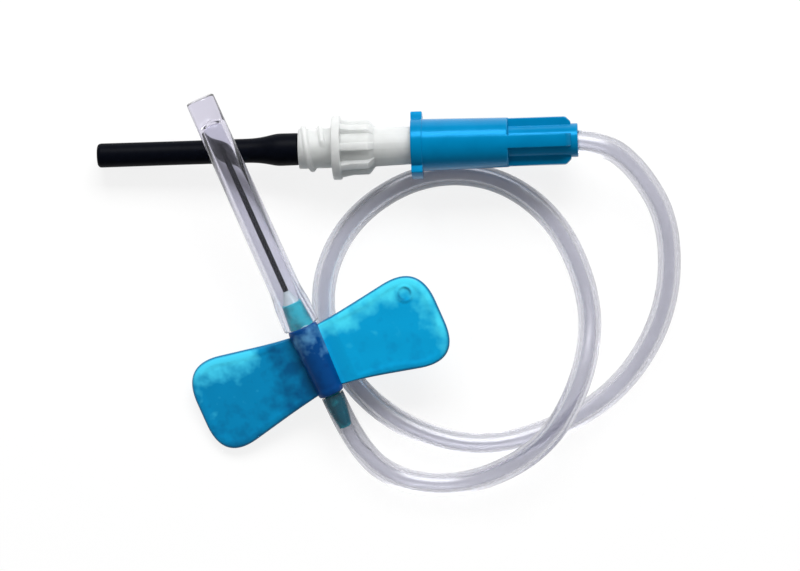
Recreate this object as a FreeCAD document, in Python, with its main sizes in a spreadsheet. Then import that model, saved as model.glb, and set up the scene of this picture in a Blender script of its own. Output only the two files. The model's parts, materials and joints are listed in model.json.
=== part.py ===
# Winged blood collection set: a sheathed needle in a winged hub, a clear tube, a female luer
# connector, and a threaded luer adapter whose rear needle is covered by a rubber sleeve.
# Lengths in millimetres, angles in degrees. X runs along the connector towards the tube's end,
# Y from the wings towards the connector, Z up from the surface that the set lies on.
import FreeCAD, Part
import math
import os
import Sketcher

doc = FreeCAD.newDocument("winged_collection_set")

# Driving dimensions
SIZES = [
    # where the needle set lies: its origin is on the needle's axis, between the wing roots
    ("set_x", -3.14), ("set_y", -8.55), ("set_z", 4.35),
    ("set_yaw", 24.0), ("set_pitch", 7.4), ("set_roll", 10.9),
    # gap between moulded pieces that fit together, and between pieces that only face each other
    ("fit_gap", 0.03), ("seat_gap", 0.1),
    # patient needle, 23 gauge, which ends short of the sheath's closed end
    ("needle_od", 0.64), ("needle_bore", 0.34), ("needle_grip", 5.0), ("tip_gap", 2.5),
    ("bevel_angle", 14.0),
    # hub: nose, barrel under the wing sleeve, tail spigot; and the adhesive at the nose
    ("nose_len", 3.0), ("nose_root_r", 1.45), ("nose_tip_r", 1.15), ("barrel_r", 1.15),
    ("spigot_len", 4.1), ("spigot_root_r", 0.95), ("spigot_grip", 2.4), ("spigot_tip_r", 0.45),
    ("hub_bore_r", 0.3),
    ("bead_len", 1.5), ("bead_r", 0.95), ("bead_tip_r", 0.5), ("bead_bulge", 0.1),
    # wing sleeve
    ("sleeve_front", 2.4), ("sleeve_back", 6.2), ("sleeve_r", 1.82), ("sleeve_back_r", 1.55),
    ("sleeve_round", 0.3),
    # wings: how far each corner stands before and behind the set's origin
    ("wing_reach", 15.35), ("wing_thick", 1.0), ("wing_drop", 0.3),
    ("root_front", 2.1), ("root_back", 5.8), ("tip_front", 4.1), ("tip_back", 8.7),
    ("wing_corner", 4.6), ("wing_edge", 0.3), ("knuckle_flat", 0.02),
    # needle sheath
    ("sheath_len", 28.7), ("sheath_rim_r", 2.12), ("collar_len", 2.9), ("collar_ramp", 1.2),
    ("sheath_root_r", 1.82), ("sheath_end_r", 1.68), ("sheath_wall", 0.55), ("sheath_solid", 3.3),
    ("sheath_gap", 0.08), ("sheath_round", 0.3),
    # where the connector lies: the rubber sleeve's tip, and the slope on which it rises to the tube
    ("line_x", -27.79), ("line_y", 13.4), ("line_yaw", 1.77), ("line_pitch", 3.3),
    # rubber sleeve over the rear needle
    ("rubber_len", 23.4), ("rubber_r", 1.4), ("rubber_wall", 0.52), ("rubber_tip", 0.9),
    ("rubber_round", 0.45), ("flare_r", 1.88), ("flare_len", 2.7), ("flare_ramp", 1.8),
    # rear needle, 21 gauge, which ends short of the rubber tip; and the adhesive at the nipple
    ("rear_od", 0.82), ("rear_bore", 0.5), ("rear_grip", 12.0), ("rear_tip_gap", 1.3),
    ("dab_len", 0.8), ("dab_r", 0.72), ("dab_tip_r", 0.52),
    # adapter: nipple, threaded part, flange, ribbed grip, male luer cone
    ("nipple_len", 2.5), ("thread_r", 2.7), ("thread_len", 3.9), ("flange_r", 3.7),
    ("flange_len", 1.0), ("grip_len", 3.2), ("grip_core_r", 2.7), ("grip_r", 3.2),
    ("rib_width", 0.9), ("rib_count", 8), ("rib_step", 0.2), ("rib_slope", 1.3),
    ("shoulder_len", 0.7), ("cone_root_r", 2.28), ("cone_len", 9.8), ("luer_taper", 0.03),
    ("cone_bore_r", 0.9), ("cone_bore_len", 8.0),
    # female luer connector
    ("mouth_gap", 4.2), ("mouth_ring_r", 3.15), ("mouth_ring_len", 1.3), ("lug_r", 3.9),
    ("lug_width", 2.8), ("lug_turn", 15.0), ("front_len", 9.9), ("front_r", 3.0),
    ("front_end_r", 2.86), ("front_round", 0.35), ("neck_len", 8.0), ("neck_r", 1.95),
    ("fin_r", 2.79), ("fin_width", 1.5), ("fin_len", 6.6), ("fin_slant", 0.6), ("fin_count", 4),
    ("cavity_depth", 6.8), ("flow_r", 0.6), ("socket_depth", 3.8), ("root_overlap", 0.3),
    # clear tube
    ("tube_od", 2.65), ("tube_bore", 1.3), ("tail_run", 7.0), ("outlet_run", 6.2),
]
ALIASES = {alias for alias, number in SIZES}

# An edge closer than this to a place lies there
SAME_PLACE = 1e-4

# Share of the shorter run beside a corner of the tube that its arc takes up
ARC_SHARE = 0.45

sheet = doc.addObject("Spreadsheet::Sheet", "Sizes")
for row, (alias, number) in enumerate(SIZES, start=1):
    sheet.set("A%d" % row, alias)
    sheet.set("B%d" % row, str(number))
    sheet.setAlias("B%d" % row, alias)
doc.recompute()

# Stations along the needle set, measured from its origin towards the needle's tip
NOSE_FRONT = "sleeve_front + nose_len"
NEEDLE_SEAT = NOSE_FRONT + " - needle_grip"
HUB_TAIL = "0 - sleeve_back - spigot_len"
SHEATH_RIM = "sleeve_front + seat_gap"
SHEATH_FLOOR = SHEATH_RIM + " + sheath_len - sheath_solid"
NEEDLE_LEN = "( " + SHEATH_FLOOR + " - tip_gap - ( " + NEEDLE_SEAT + " ) )"
WING_ROOT = "sleeve_r + seat_gap"
HINGE_X = WING_ROOT + " + wing_thick / 2"

# Stations along the connector, measured from the rubber sleeve's tip
NIPPLE_END = "rubber_len - nipple_len"
FLARE_START = "rubber_len - flare_len"
FLANGE_AT = "rubber_len + thread_len"
GRIP_AT = FLANGE_AT + " + flange_len"
SHOULDER_AT = GRIP_AT + " + grip_len"
CONE_ROOT = SHOULDER_AT + " + shoulder_len"
CONE_TIP = CONE_ROOT + " + cone_len"
MOUTH = CONE_ROOT + " + mouth_gap"
FRONT_AT = MOUTH + " + mouth_ring_len"
NECK_AT = FRONT_AT + " + front_len"
OUTLET = NECK_AT + " + neck_len"
SOCKET_FLOOR = OUTLET + " - socket_depth"
REAR_LEN = "( " + NIPPLE_END + " + rear_grip - rubber_tip - rear_tip_gap )"

# Radii that follow from other sizes
NEEDLE_HOLE = "needle_od / 2 + fit_gap"
REAR_HOLE = "rear_od / 2 + fit_gap"
NIPPLE_BORE = "flare_r - rubber_wall"
MOUTH_R = "cone_root_r - luer_taper * mouth_gap + fit_gap"
SOCKET_R = "tube_od / 2 + fit_gap"
SPIGOT_R = "tube_bore / 2 - fit_gap"
RIB_ROOT_R = "flange_r - rib_step"
KNUCKLE_R = "( wing_thick - knuckle_flat ) / 2"


def bound(expression):
    """The expression with each size named in full, as a property takes it."""
    words = expression.replace("(", "( ").replace(")", " )").split()
    return " ".join("Sizes." + word if word in ALIASES else word for word in words)


def worth(expression):
    """The present value of an expression of sizes."""
    result = sheet.evalExpression(bound(expression))
    return float(getattr(result, "Value", result))


def new_body(name):
    """An empty body for one sub-part, labelled with its name."""
    body = doc.addObject("PartDesign::Body", name)
    body.Label = name
    return body


def origin_part(body, role):
    """One of the body's own origin planes or axes."""
    return next(item for item in body.Origin.OriginFeatures if item.Role == role)


def new_sketch(body, name, plane):
    """A sketch on one of the body's own origin planes."""
    sketch = body.newObject("Sketcher::SketchObject", name)
    sketch.AttachmentSupport = (origin_part(body, plane), "")
    sketch.MapMode = "FlatFace"
    return sketch


def hold(sketch, kind, edge, end, expression):
    """Holds one end of an edge at a distance from the origin given by an expression of sizes."""
    if expression == "0":
        axis = -2 if kind == "DistanceX" else -1
        sketch.addConstraint(Sketcher.Constraint("PointOnObject", edge, end, axis))
        return
    index = sketch.addConstraint(Sketcher.Constraint(kind, -1, 1, edge, end, worth(expression)))
    sketch.setExpression("Constraints[%d]" % index, bound(expression))


def outline(sketch, corners):
    """A closed outline of straight edges through corners given as pairs of expressions."""
    points = [FreeCAD.Vector(worth(x), worth(y), 0) for x, y in corners]
    edges = [sketch.addGeometry(Part.LineSegment(start, end), False)
             for start, end in zip(points, points[1:] + points[:1])]
    for edge, following in zip(edges, edges[1:] + edges[:1]):
        sketch.addConstraint(Sketcher.Constraint("Coincident", edge, 2, following, 1))
    for edge, (x, y) in zip(edges, corners):
        hold(sketch, "DistanceX", edge, 1, x)
        hold(sketch, "DistanceY", edge, 1, y)


def turned(body, name, profile, about="X"):
    """A profile of (station, radius) corners turned about the body's X or Y axis."""
    sketch = new_sketch(body, name + "_profile", "XY_Plane")
    outline(sketch, profile if about == "X" else [(radius, station) for station, radius in profile])
    turn = body.newObject("PartDesign::Revolution", name)
    turn.Profile = sketch
    turn.ReferenceAxis = (sketch, ["H_Axis" if about == "X" else "V_Axis"])
    turn.Angle = 360
    doc.recompute()
    return turn


def padded(body, name, sketch, length, feature="Pad", both_ways=True):
    """A sketch padded or pocketed by a length, evenly to both sides of its plane or to one."""
    pad = body.newObject("PartDesign::" + feature, name)
    pad.Profile = sketch
    pad.Midplane = both_ways
    pad.setExpression("Length", bound(length))
    doc.recompute()
    return pad


def around(body, name, feature, count):
    """Copies of a feature spaced evenly about the body's X axis."""
    pattern = body.newObject("PartDesign::PolarPattern", name)
    pattern.Originals = [feature]
    pattern.Axis = (origin_part(body, "X_Axis"), [""])
    pattern.Angle = 360
    pattern.setExpression("Occurrences", bound(count))
    body.Tip = pattern
    doc.recompute()
    return pattern


def rounded(body, name, base, radius, chosen):
    """A fillet on those edges of the base that the test chooses."""
    numbers = [number for number, edge in enumerate(base.Shape.Edges, start=1) if chosen(edge)]
    fillet = body.newObject("PartDesign::Fillet", name)
    fillet.Base = (base, ["Edge%d" % number for number in numbers])
    fillet.setExpression("Radius", bound(radius))
    doc.recompute()
    return fillet


def rim(station, radius, about="X"):
    """A test for the round edge of a turned form at a station, of the given radius."""
    def chosen(edge):
        if not isinstance(edge.Curve, Part.Circle):
            return False
        centre = edge.Curve.Center.x if about == "X" else edge.Curve.Center.y
        return abs(centre - worth(station)) < SAME_PLACE and abs(edge.Curve.Radius - worth(radius)) < SAME_PLACE
    return chosen


def tilted_frame(x, y, z, yaw, tilt_axis, tilt, roll_axis, roll):
    """A placement turned about Z, then tilted, then rolled about its own length."""
    turn = FreeCAD.Rotation(FreeCAD.Vector(0, 0, 1), yaw)
    tilted = turn * FreeCAD.Rotation(tilt_axis, tilt) * FreeCAD.Rotation(roll_axis, roll)
    return FreeCAD.Placement(FreeCAD.Vector(x, y, z), tilted)


# Frame of the needle set: X across it, Y along it towards the tip
X_AXIS = FreeCAD.Vector(1, 0, 0)
Y_AXIS = FreeCAD.Vector(0, 1, 0)
set_frame = tilted_frame(
    worth("set_x"), worth("set_y"), worth("set_z"), worth("set_yaw"),
    X_AXIS, worth("set_pitch"), Y_AXIS, -worth("set_roll"))

# Frame of the connector: X along it. The adapter's flange rests on the surface by its lower rim.
slope = math.radians(worth("line_pitch"))
line_z = worth("flange_r") * math.cos(slope) - worth(FLANGE_AT) * math.sin(slope)
line_frame = tilted_frame(
    worth("line_x"), worth("line_y"), line_z, worth("line_yaw"),
    Y_AXIS, -worth("line_pitch"), X_AXIS, 0)


# Steel needles
def needle(name, length, outside, bore):
    """A steel tube along Y from the body's origin, its far end ground to a bevel that faces up."""
    body = new_body(name)
    turned(body, name + "_tube", [
        ("0", bore + " / 2"), ("0", outside + " / 2"),
        (length, outside + " / 2"), (length, bore + " / 2"),
    ], about="Y")
    grind = new_sketch(body, name + "_grind", "YZ_Plane")
    outline(grind, [
        (length + " - " + outside + " / tan( bevel_angle * 1 deg )", outside + " / 2"),
        (length, "0 - " + outside + " / 2"),
        (length + " + " + outside, "0 - " + outside + " / 2"),
        (length + " + " + outside, outside),
        (length + " - " + outside + " / tan( bevel_angle * 1 deg )", outside),
    ])
    padded(body, name + "_bevel", grind, outside + " * 2", feature="Pocket")
    return body


patient_cannula = needle("patient_cannula", NEEDLE_LEN, "needle_od", "needle_bore")
patient_cannula.Placement = set_frame * FreeCAD.Placement(
    FreeCAD.Vector(0, worth(NEEDLE_SEAT), 0), FreeCAD.Rotation())

rear_cannula = needle("rear_cannula", REAR_LEN, "rear_od", "rear_bore")
rear_cannula.Placement = line_frame * FreeCAD.Placement(
    FreeCAD.Vector(worth(NIPPLE_END + " + rear_grip"), 0, 0),
    FreeCAD.Rotation(FreeCAD.Vector(0, 0, 1), 90))


# Needle hub: the nose that the sheath pushes onto, the barrel that the wings are moulded over,
# and the tapered spigot that stretches the tube pushed over it
needle_hub = new_body("needle_hub")
turned(needle_hub, "hub_form", [
    (HUB_TAIL, "hub_bore_r"), (HUB_TAIL, "spigot_tip_r"),
    ("0 - sleeve_back - spigot_grip", SPIGOT_R), ("0 - sleeve_back", "spigot_root_r"),
    ("0 - sleeve_back", "barrel_r"),
    ("sleeve_front + fit_gap", "barrel_r"), ("sleeve_front + fit_gap", "nose_root_r"),
    (NOSE_FRONT, "nose_tip_r"), (NOSE_FRONT, NEEDLE_HOLE),
    (NEEDLE_SEAT + " - fit_gap", NEEDLE_HOLE), (NEEDLE_SEAT + " - fit_gap", "hub_bore_r"),
], about="Y")
needle_hub.Placement = set_frame

# Adhesive that fixes the needle in the nose
hub_adhesive = new_body("hub_adhesive")
turned(hub_adhesive, "hub_adhesive_form", [
    (NOSE_FRONT, NEEDLE_HOLE), (NOSE_FRONT, "bead_r"),
    (NOSE_FRONT + " + bead_len / 2", "( bead_r + bead_tip_r ) / 2 + bead_bulge"),
    (NOSE_FRONT + " + bead_len", "bead_tip_r"), (NOSE_FRONT + " + bead_len", NEEDLE_HOLE),
], about="Y")
hub_adhesive.Placement = set_frame

# Soft sleeve of the wings, moulded over the hub's barrel and tapered towards the tube
wing_sleeve = new_body("wing_sleeve")
sleeve_form = turned(wing_sleeve, "sleeve_form", [
    ("0 - sleeve_back", "barrel_r + fit_gap"), ("0 - sleeve_back", "sleeve_back_r"),
    ("sleeve_front", "sleeve_r"), ("sleeve_front", "barrel_r + fit_gap"),
], about="Y")
front_rim = rim("sleeve_front", "sleeve_r", about="Y")
back_rim = rim("0 - sleeve_back", "sleeve_back_r", about="Y")
rounded(wing_sleeve, "sleeve_rims", sleeve_form, "sleeve_round",
        lambda edge: front_rim(edge) or back_rim(edge))
wing_sleeve.Placement = set_frame


# Wings: flat leaves that widen outwards, each folding about its rounded root beside the sleeve
def wing(name, side):
    """One wing; side is 1 to the right of the needle set and -1 to its left."""
    body = new_body(name)
    sign = "" if side > 0 else "0 - "
    root = sign + "( " + WING_ROOT + " )"
    leaf = new_sketch(body, name + "_outline", "XY_Plane")
    outline(leaf, [
        (root, "root_front"), (root, "0 - root_back"),
        (sign + "wing_reach", "0 - tip_back"), (sign + "wing_reach", "tip_front"),
    ])
    pad = padded(body, name + "_leaf", leaf, "wing_thick")
    reach = worth("wing_reach")
    corners = rounded(body, name + "_corners", pad, "wing_corner", lambda edge: (
        abs(abs(edge.CenterOfMass.x) - reach) < SAME_PLACE and abs(edge.CenterOfMass.z) < SAME_PLACE))
    root_x = worth(WING_ROOT)
    knuckle = rounded(body, name + "_knuckle", corners, KNUCKLE_R, lambda edge: (
        abs(abs(edge.CenterOfMass.x) - root_x) < SAME_PLACE and abs(edge.CenterOfMass.z) > SAME_PLACE))
    half = worth("wing_thick") / 2
    rounded(body, name + "_edges", knuckle, "wing_edge", lambda edge: (
        abs(abs(edge.CenterOfMass.z) - half) < SAME_PLACE and abs(edge.CenterOfMass.x) > root_x + 2 * half))
    body.Placement = set_frame * FreeCAD.Placement(
        FreeCAD.Vector(0, 0, -worth("wing_drop")), FreeCAD.Rotation())
    return body


wing_right = wing("wing_right", 1)
wing_left = wing("wing_left", -1)

# Needle sheath: a collar that grips the nose, a slim barrel, and a solid closed end
needle_sheath = new_body("needle_sheath")
sheath_form = turned(needle_sheath, "sheath_form", [
    (SHEATH_RIM, "nose_root_r + sheath_gap"), (SHEATH_RIM, "sheath_rim_r"),
    (SHEATH_RIM + " + collar_len", "sheath_rim_r"),
    (SHEATH_RIM + " + collar_len + collar_ramp", "sheath_root_r"),
    (SHEATH_RIM + " + sheath_len", "sheath_end_r"), (SHEATH_RIM + " + sheath_len", "0"),
    (SHEATH_FLOOR, "0"), (SHEATH_FLOOR, "sheath_end_r - sheath_wall"),
    (SHEATH_RIM + " + nose_len", "nose_tip_r + sheath_gap"),
], about="Y")
rounded(needle_sheath, "sheath_end", sheath_form, "sheath_round",
        rim(SHEATH_RIM + " + sheath_len", "sheath_end_r", about="Y"))
needle_sheath.Placement = set_frame

# Rubber sleeve: closed at its tip, stretched over the adapter's nipple at its open end
rubber_sleeve = new_body("rubber_sleeve")
rubber_form = turned(rubber_sleeve, "rubber_form", [
    ("0", "0"), ("0", "rubber_r"), (FLARE_START + " - flare_ramp", "rubber_r"),
    (FLARE_START, "flare_r"), ("rubber_len", "flare_r"), ("rubber_len", NIPPLE_BORE),
    (FLARE_START, NIPPLE_BORE), (FLARE_START + " - flare_ramp", "rubber_r - rubber_wall"),
    ("rubber_tip", "rubber_r - rubber_wall"), ("rubber_tip", "0"),
])
rounded(rubber_sleeve, "rubber_end", rubber_form, "rubber_round", rim("0", "rubber_r"))
rubber_sleeve.Placement = line_frame

# Adapter: nipple, threaded part for a tube holder, flange, ribbed grip and male luer cone. Each
# rib rises in a slope to the flange.
adapter_hub = new_body("adapter_hub")
turned(adapter_hub, "adapter_form", [
    (NIPPLE_END, REAR_HOLE), (NIPPLE_END, NIPPLE_BORE + " - fit_gap"),
    ("rubber_len", NIPPLE_BORE + " - fit_gap"), ("rubber_len", "thread_r"),
    (FLANGE_AT, "thread_r"), (FLANGE_AT, "flange_r"), (GRIP_AT, "flange_r"),
    (GRIP_AT, "grip_core_r"), (SHOULDER_AT, "grip_core_r"), (CONE_ROOT, "cone_root_r"),
    (CONE_TIP, "cone_root_r - luer_taper * cone_len"), (CONE_TIP, "cone_bore_r"),
    (CONE_TIP + " - cone_bore_len", "cone_bore_r"), (CONE_TIP + " - cone_bore_len", REAR_HOLE),
])
rib_outline = new_sketch(adapter_hub, "rib_outline", "XY_Plane")
outline(rib_outline, [
    (GRIP_AT + " - root_overlap", "grip_core_r - root_overlap"),
    (GRIP_AT + " - root_overlap", RIB_ROOT_R), (GRIP_AT + " + rib_slope", "grip_r"),
    (SHOULDER_AT, "grip_r"),
    (CONE_ROOT, "cone_root_r"), (CONE_ROOT, "cone_root_r - root_overlap"),
])
rib = padded(adapter_hub, "rib", rib_outline, "rib_width")
around(adapter_hub, "ribs", rib, "rib_count")
adapter_hub.Placement = line_frame

# Adhesive that fixes the rear needle in the nipple
adapter_adhesive = new_body("adapter_adhesive")
turned(adapter_adhesive, "adapter_adhesive_form", [
    (NIPPLE_END, REAR_HOLE), (NIPPLE_END, "dab_r"),
    (NIPPLE_END + " - dab_len", "dab_tip_r"), (NIPPLE_END + " - dab_len", REAR_HOLE),
])
adapter_adhesive.Placement = line_frame


# Female luer connector: mouth ring with two lugs, smooth front, finned neck with the tube's socket
def lug_outline(body):
    """One lug seen along the connector: straight sides, and an arc about the axis outside."""
    sketch = new_sketch(body, "lug_outline", "YZ_Plane")
    sketch.AttachmentOffset = FreeCAD.Placement(
        FreeCAD.Vector(0, 0, worth(MOUTH)), FreeCAD.Rotation(FreeCAD.Vector(0, 0, 1), -worth("lug_turn")))
    sketch.setExpression("AttachmentOffset.Base.z", bound(MOUTH))
    half_width = worth("lug_width") / 2
    half_angle = math.asin(half_width / worth("lug_r"))
    outer_x = worth("lug_r") * math.cos(half_angle)
    inner_x = worth("mouth_ring_r - root_overlap")
    circle = Part.Circle(FreeCAD.Vector(), FreeCAD.Vector(0, 0, 1), worth("lug_r"))
    arc = sketch.addGeometry(Part.ArcOfCircle(circle, -half_angle, half_angle), False)
    corners = [(outer_x, half_width), (inner_x, half_width), (inner_x, -half_width), (outer_x, -half_width)]
    points = [FreeCAD.Vector(x, y, 0) for x, y in corners]
    top, root, bottom = [sketch.addGeometry(Part.LineSegment(start, end), False)
                         for start, end in zip(points, points[1:])]
    for first, first_end, second, second_end in [
            (arc, 2, top, 1), (top, 2, root, 1), (root, 2, bottom, 1), (bottom, 2, arc, 1), (arc, 3, -1, 1)]:
        sketch.addConstraint(Sketcher.Constraint("Coincident", first, first_end, second, second_end))
    radius = sketch.addConstraint(Sketcher.Constraint("Radius", arc, worth("lug_r")))
    sketch.setExpression("Constraints[%d]" % radius, bound("lug_r"))
    for edge, end, across, along in [
            (root, 1, "mouth_ring_r - root_overlap", "lug_width / 2"),
            (root, 2, "mouth_ring_r - root_overlap", "0 - lug_width / 2")]:
        hold(sketch, "DistanceX", edge, end, across)
        hold(sketch, "DistanceY", edge, end, along)
    hold(sketch, "DistanceY", top, 1, "lug_width / 2")
    hold(sketch, "DistanceY", bottom, 2, "0 - lug_width / 2")
    return sketch


luer_connector = new_body("luer_connector")
luer_form = turned(luer_connector, "luer_form", [
    (MOUTH, MOUTH_R), (MOUTH, "mouth_ring_r"), (FRONT_AT, "mouth_ring_r"), (FRONT_AT, "front_r"),
    (NECK_AT, "front_end_r"), (NECK_AT, "neck_r"), (OUTLET, "neck_r"), (OUTLET, SOCKET_R),
    (SOCKET_FLOOR, SOCKET_R), (SOCKET_FLOOR, "flow_r"), (MOUTH + " + cavity_depth", "flow_r"),
    (MOUTH + " + cavity_depth", MOUTH_R + " - luer_taper * cavity_depth"),
])
rounded(luer_connector, "front_end", luer_form, "front_round", rim(NECK_AT, "front_end_r"))
lug = padded(luer_connector, "lug", lug_outline(luer_connector), "mouth_ring_len", both_ways=False)
around(luer_connector, "lugs", lug, "2")
fin_outline = new_sketch(luer_connector, "fin_outline", "XY_Plane")
outline(fin_outline, [
    (NECK_AT + " - front_round", "neck_r - root_overlap"), (NECK_AT + " - front_round", "fin_r"),
    (NECK_AT + " + fin_len", "fin_r"), (NECK_AT + " + fin_len + fin_slant", "fin_r - fin_slant"),
    (NECK_AT + " + fin_len + fin_slant", "neck_r - root_overlap"),
])
fin = padded(luer_connector, "fin", fin_outline, "fin_width")
around(luer_connector, "fins", fin, "fin_count")
luer_connector.Placement = line_frame


# Clear tube: from the hub's spigot, once round under the connector and the wing, then round the
# outside and up into the connector's socket. It crosses over itself at the lower right.
def rounded_path(points):
    """Straight runs joined by tangent arcs, each as large as the runs beside it allow."""
    edges = []
    radii = []
    start = points[0]
    for before, corner, after in zip(points, points[1:], points[2:]):
        back = before - corner
        ahead = after - corner
        reach = ARC_SHARE * min(back.Length, ahead.Length)
        half_turn = (math.pi - back.getAngle(ahead)) / 2
        radius = reach / math.tan(half_turn)
        back.normalize()
        ahead.normalize()
        inward = back + ahead
        inward.normalize()
        middle = corner + inward * (radius / math.cos(half_turn) - radius)
        edges.append(Part.LineSegment(start, corner + back * reach).toShape())
        edges.append(Part.Arc(corner + back * reach, middle, corner + ahead * reach).toShape())
        start = corner + ahead * reach
        radii.append(radius)
    edges.append(Part.LineSegment(start, points[-1]).toShape())
    return Part.Wire(edges), radii


tail = set_frame.multVec(FreeCAD.Vector(0, -worth("sleeve_back + seat_gap"), 0))
tail_end = set_frame.multVec(FreeCAD.Vector(0, -worth("sleeve_back + seat_gap + tail_run"), 0))
outlet = line_frame.multVec(FreeCAD.Vector(worth(SOCKET_FLOOR + " + seat_gap"), 0, 0))
outlet_end = line_frame.multVec(FreeCAD.Vector(worth(SOCKET_FLOOR + " + seat_gap + outlet_run"), 0, 0))
lying = worth("tube_od") / 2
ROUTE = [
    (7.3, -24.5, lying), (15.6, -24.8, 2.0), (24.0, -20.4, 4.4), (28.5, -12.3, 4.5),
    (29.6, -3.7, 1.9), (25.7, 5.9, lying), (18.2, 11.3, lying), (9.0, 11.3, lying),
    (0.9, 5.8, lying), (-2.4, -2.8, lying), (0.2, -11.6, lying), (7.1, -18.0, lying),
    (16.4, -20.7, lying), (25.8, -18.2, lying), (33.5, -13.0, lying), (38.3, -4.3, 1.5),
    (38.5, 5.4, 2.4), (34.8, 11.8, 4.0),
]
route = [tail, tail_end] + [FreeCAD.Vector(*point) for point in ROUTE] + [outlet_end, outlet]
path, radii = rounded_path(route)
start_way = (route[1] - route[0]).normalize()
section = Part.Face(Part.Wire(Part.Circle(route[0], start_way, worth("tube_od") / 2).toShape()))
run = path.makePipe(section)
print("tube radii:", " ".join("%.1f" % radius for radius in radii))
print("tube length %.1f mm, volume %.2f mm3, section times length %.2f mm3"
      % (path.Length, run.Volume, section.Area * path.Length))

# The tube is one plain solid, open where the spigot fills its bore and widens its mouth
widened = Part.makeCone(
    worth("spigot_root_r + fit_gap"), worth("tube_bore / 2"), worth("spigot_grip - seat_gap"),
    route[0], start_way)
filled = Part.makeCylinder(worth("tube_bore / 2"), worth("spigot_len"), route[0], start_way)
tubing = doc.addObject("Part::Feature", "tubing")
tubing.Label = "tubing"
tubing.Shape = run.cut(widened.fuse(filled))


# Checks and export
NODES = [
    patient_cannula, needle_hub, hub_adhesive, wing_sleeve, wing_right, wing_left, needle_sheath,
    rear_cannula, rubber_sleeve, adapter_hub, adapter_adhesive, luer_connector, tubing,
]
doc.recompute()
for item in doc.Objects:
    if "Invalid" in item.State or "Error" in item.State:
        raise RuntimeError("%s did not recompute: %s" % (item.Name, item.State))
for node in NODES:
    if node.Shape.isNull() or not node.Shape.isValid():
        raise RuntimeError("%s has no valid shape" % node.Label)

os.makedirs("parts", exist_ok=True)
for node in NODES:
    node.Shape.exportStep("parts/%s.step" % node.Label)
    box = node.Shape.BoundBox
    print("%-18s solids %d volume %8.3f box %.2f..%.2f %.2f..%.2f %.2f..%.2f" % (
        node.Label, len(node.Shape.Solids), node.Shape.Volume,
        box.XMin, box.XMax, box.YMin, box.YMax, box.ZMin, box.ZMax))
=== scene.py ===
# A winged blood collection set, built in the order in which it is put together: needle and hub,
# wings, sheath, tube, female luer connector, then the adapter with its covered rear needle.
# Sizes are millimetres along each piece's own axis, and its mesh is in metres.
import json
import bmesh
import bpy
import numpy as np
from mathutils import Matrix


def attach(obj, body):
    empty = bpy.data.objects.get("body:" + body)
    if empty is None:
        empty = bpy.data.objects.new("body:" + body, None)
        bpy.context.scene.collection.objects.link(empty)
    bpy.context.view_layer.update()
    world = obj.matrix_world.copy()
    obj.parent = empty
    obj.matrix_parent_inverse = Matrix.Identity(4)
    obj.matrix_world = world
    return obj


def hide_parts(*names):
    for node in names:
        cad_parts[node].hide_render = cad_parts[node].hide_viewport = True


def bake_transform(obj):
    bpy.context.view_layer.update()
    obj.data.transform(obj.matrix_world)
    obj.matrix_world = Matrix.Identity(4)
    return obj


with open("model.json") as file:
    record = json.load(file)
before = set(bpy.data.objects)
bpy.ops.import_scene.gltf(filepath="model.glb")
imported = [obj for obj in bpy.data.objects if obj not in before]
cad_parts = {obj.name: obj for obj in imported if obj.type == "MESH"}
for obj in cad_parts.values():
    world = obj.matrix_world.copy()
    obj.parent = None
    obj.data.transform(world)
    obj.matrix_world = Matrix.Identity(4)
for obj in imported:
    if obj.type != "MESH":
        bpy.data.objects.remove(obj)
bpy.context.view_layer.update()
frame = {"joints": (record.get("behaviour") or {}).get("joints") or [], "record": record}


# Patient needle: a 23 gauge tube of drawn stainless steel, fixed in the hub's nose. Its end is
# ground to a bevel, and two side grinds make the bevel's front a point.
MM = 0.001
joints = {joint["name"]: joint for joint in frame["joints"]}
mounts = {mount["name"]: mount for mount in frame["record"]["mounts"]}

needle_tip = 25.4
needle_start = 0.4
needle_radius = 0.32
needle_bore = 0.17
bevel_slope = 4.01
side_grind_slope = 1.6

set_along = np.array(joints["sheath_pull"]["axis"])
left_hinge = np.array(joints["left_wing_fold"]["pos_m"])
right_hinge = np.array(joints["right_wing_fold"]["pos_m"])
set_side = (right_hinge - left_hinge) / np.linalg.norm(right_hinge - left_hinge)
set_origin = np.array(mounts["needle_point"]["pos_m"]) - needle_tip * MM * set_along
set_line = (set_origin, set_along, set_side, np.cross(set_side, set_along))


def turned(line, stations, radii, angles):
    """Points of a form turned about a line. At angle a and station t a point is the line's origin,
    plus t along the line, plus the radius times cos a to its side and sin a to its upper side."""
    origin, along, side, up = line
    shape = (len(angles), np.shape(radii)[-1])
    stations = np.broadcast_to(stations, shape)[..., None]
    radii = np.broadcast_to(radii, shape)[..., None]
    outwards = np.cos(angles)[:, None, None] * side + np.sin(angles)[:, None, None] * up
    return origin + MM * (stations * along + radii * outwards)


def full_turn(steps):
    """Angles all the way round, in even steps."""
    return np.arange(steps) * 2 * np.pi / steps


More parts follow.
